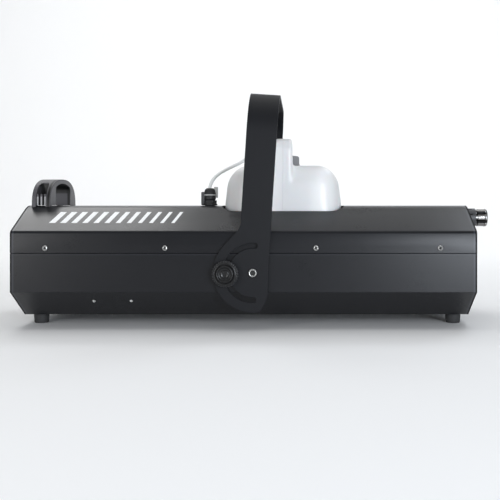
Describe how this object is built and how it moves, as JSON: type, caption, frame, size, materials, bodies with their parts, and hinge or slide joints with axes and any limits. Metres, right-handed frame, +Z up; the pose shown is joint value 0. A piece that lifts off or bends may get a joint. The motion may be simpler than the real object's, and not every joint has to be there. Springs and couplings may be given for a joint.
{
  "type": "fog machine",
  "caption": "Long black sheet-steel stage fog machine with a swivelling hanging bracket, lift-out white fluid tank, hose, carrying handle, front nozzle and rear control panel.",
  "frame": {"origin": "on the ground, at the middle of the overall length and width", "axes": "+X towards the nozzle, +Y to the left of it, +Z up"},
  "size_m": [0.748, 0.3714, 0.3561],
  "materials": {
    "black_steel": "fine satin powder coat",
    "plated_steel": "zinc plated",
    "stainless": "turned and polished",
    "black_plastic": "moulded, fine texture",
    "black_rubber": "moulded, matte",
    "tank_plastic": "blow-moulded natural polyethylene, slightly translucent",
    "grey_plastic": "moulded, ribbed",
    "clear_tube": "soft tube, milky clear",
    "cast_aluminium": "as cast",
    "mineral_wool": "pressed mineral wool",
    "green_board": "solder resist",
    "iron_core": "varnished laminations",
    "white_plastic": "moulded",
    "display_lens": "smoked, polished",
    "red_plastic": "moulded, glossy"
  },
  "bodies": {
    "chassis": {"top_cover": "black_steel", "bottom_tray": "black_steel", "front_end_plate": "black_steel", "rear_end_plate": "black_steel", "tank_recess": "black_steel", "cover_screw_1": "plated_steel", "cover_screw_2": "plated_steel", "cover_screw_3": "plated_steel", "cover_screw_4": "plated_steel", "cover_screw_5": "plated_steel", "cover_screw_6": "plated_steel", "cover_screw_7": "plated_steel", "cover_screw_8": "plated_steel", "pivot_bolt_near": "plated_steel", "pivot_bolt_far": "plated_steel", "heater_strap_rear": "plated_steel", "heater_strap_front": "plated_steel", "pump_bracket": "plated_steel", "pump_spring": "plated_steel", "fluid_tube_out": "plated_steel", "nozzle_pipe": "plated_steel", "signal_in": "plated_steel", "signal_out": "plated_steel", "nozzle": "stainless", "carry_handle": "black_plastic", "deck_fitting": "black_plastic", "rocker_housing": "black_plastic", "power_inlet": "black_plastic", "fuse_holder": "black_plastic", "thermostat": "black_plastic", "pump_body": "black_plastic", "nozzle_guard": "black_plastic", "rubber_foot_1": "black_rubber", "rubber_foot_2": "black_rubber", "rubber_foot_3": "black_rubber", "rubber_foot_4": "black_rubber", "fluid_tube_in": "clear_tube", "heater_block": "cast_aluminium", "heat_sink": "cast_aluminium", "insulation_blanket": "mineral_wool", "control_board": "green_board", "transformer": "iron_core", "terminal_block": "white_plastic", "display_window": "display_lens"},
    "bracket": {"bracket": "black_steel"},
    "lock_knob_near": {"lock_knob_near": "black_plastic"},
    "lock_knob_far": {"lock_knob_far": "black_plastic"},
    "tank": {"tank": "tank_plastic", "hose": "clear_tube", "hose_tail": "grey_plastic", "dip_tube": "clear_tube", "intake_filter": "black_plastic"},
    "tank_cap": {"tank_cap": "grey_plastic"},
    "button_1": {"button_1": "white_plastic"},
    "button_2": {"button_2": "white_plastic"},
    "button_3": {"button_3": "white_plastic"},
    "button_4": {"button_4": "white_plastic"},
    "rocker": {"rocker": "red_plastic"},
    "fuse_cap": {"fuse_cap": "black_plastic"},
    "pump_plunger": {"pump_plunger": "plated_steel"}
  },
  "joints": [
    {"name": "bracket_swivel", "type": "hinge", "parent": "chassis", "child": "bracket", "pos_m": [-0.003, 0, 0.0852], "axis": [0, 1, 0], "range_deg": [-63, 56]},
    {"name": "knob_turn_near", "type": "hinge", "parent": "chassis", "child": "lock_knob_near", "pos_m": [-0.04299, -0.16, 0.08415], "axis": [0, -1, 0], "range_deg": [0, 330]},
    {"name": "knob_turn_far", "type": "hinge", "parent": "chassis", "child": "lock_knob_far", "pos_m": [-0.04299, 0.16, 0.08415], "axis": [0, 1, 0], "range_deg": [0, 330]},
    {"name": "tank_lift", "type": "slide", "parent": "chassis", "child": "tank", "axis": [0, 0, 1], "range_m": [0, 0.045]},
    {"name": "cap_turn", "type": "hinge", "parent": "tank", "child": "tank_cap", "pos_m": [0.0393, 0.045, 0.248], "axis": [0, 0, 1], "range_deg": [0, 300]},
    {"name": "button_1_press", "type": "slide", "parent": "chassis", "child": "button_1", "axis": [1, 0, 0], "range_m": [0, 0.0012], "stiffness_N_per_m": 300, "springref_m": -0.001},
    {"name": "button_2_press", "type": "slide", "parent": "chassis", "child": "button_2", "axis": [1, 0, 0], "range_m": [0, 0.0012], "stiffness_N_per_m": 300, "springref_m": -0.001},
    {"name": "button_3_press", "type": "slide", "parent": "chassis", "child": "button_3", "axis": [1, 0, 0], "range_m": [0, 0.0012], "stiffness_N_per_m": 300, "springref_m": -0.001},
    {"name": "button_4_press", "type": "slide", "parent": "chassis", "child": "button_4", "axis": [1, 0, 0], "range_m": [0, 0.0012], "stiffness_N_per_m": 300, "springref_m": -0.001},
    {"name": "rocker_tip", "type": "hinge", "parent": "chassis", "child": "rocker", "pos_m": [-0.36125, 0.088, 0.121], "axis": [0, 0, 1], "range_deg": [0, 12]},
    {"name": "fuse_cap_turn", "type": "hinge", "parent": "chassis", "child": "fuse_cap", "pos_m": [-0.36125, 0.036, 0.075], "axis": [-1, 0, 0], "range_deg": [0, 60]},
    {"name": "pump_stroke", "type": "slide", "parent": "chassis", "child": "pump_plunger", "axis": [1, 0, 0], "range_m": [0, 0.002], "stiffness_N_per_m": 800, "springref_m": -0.001, "deforming": ["pump_spring"]}
  ]
}
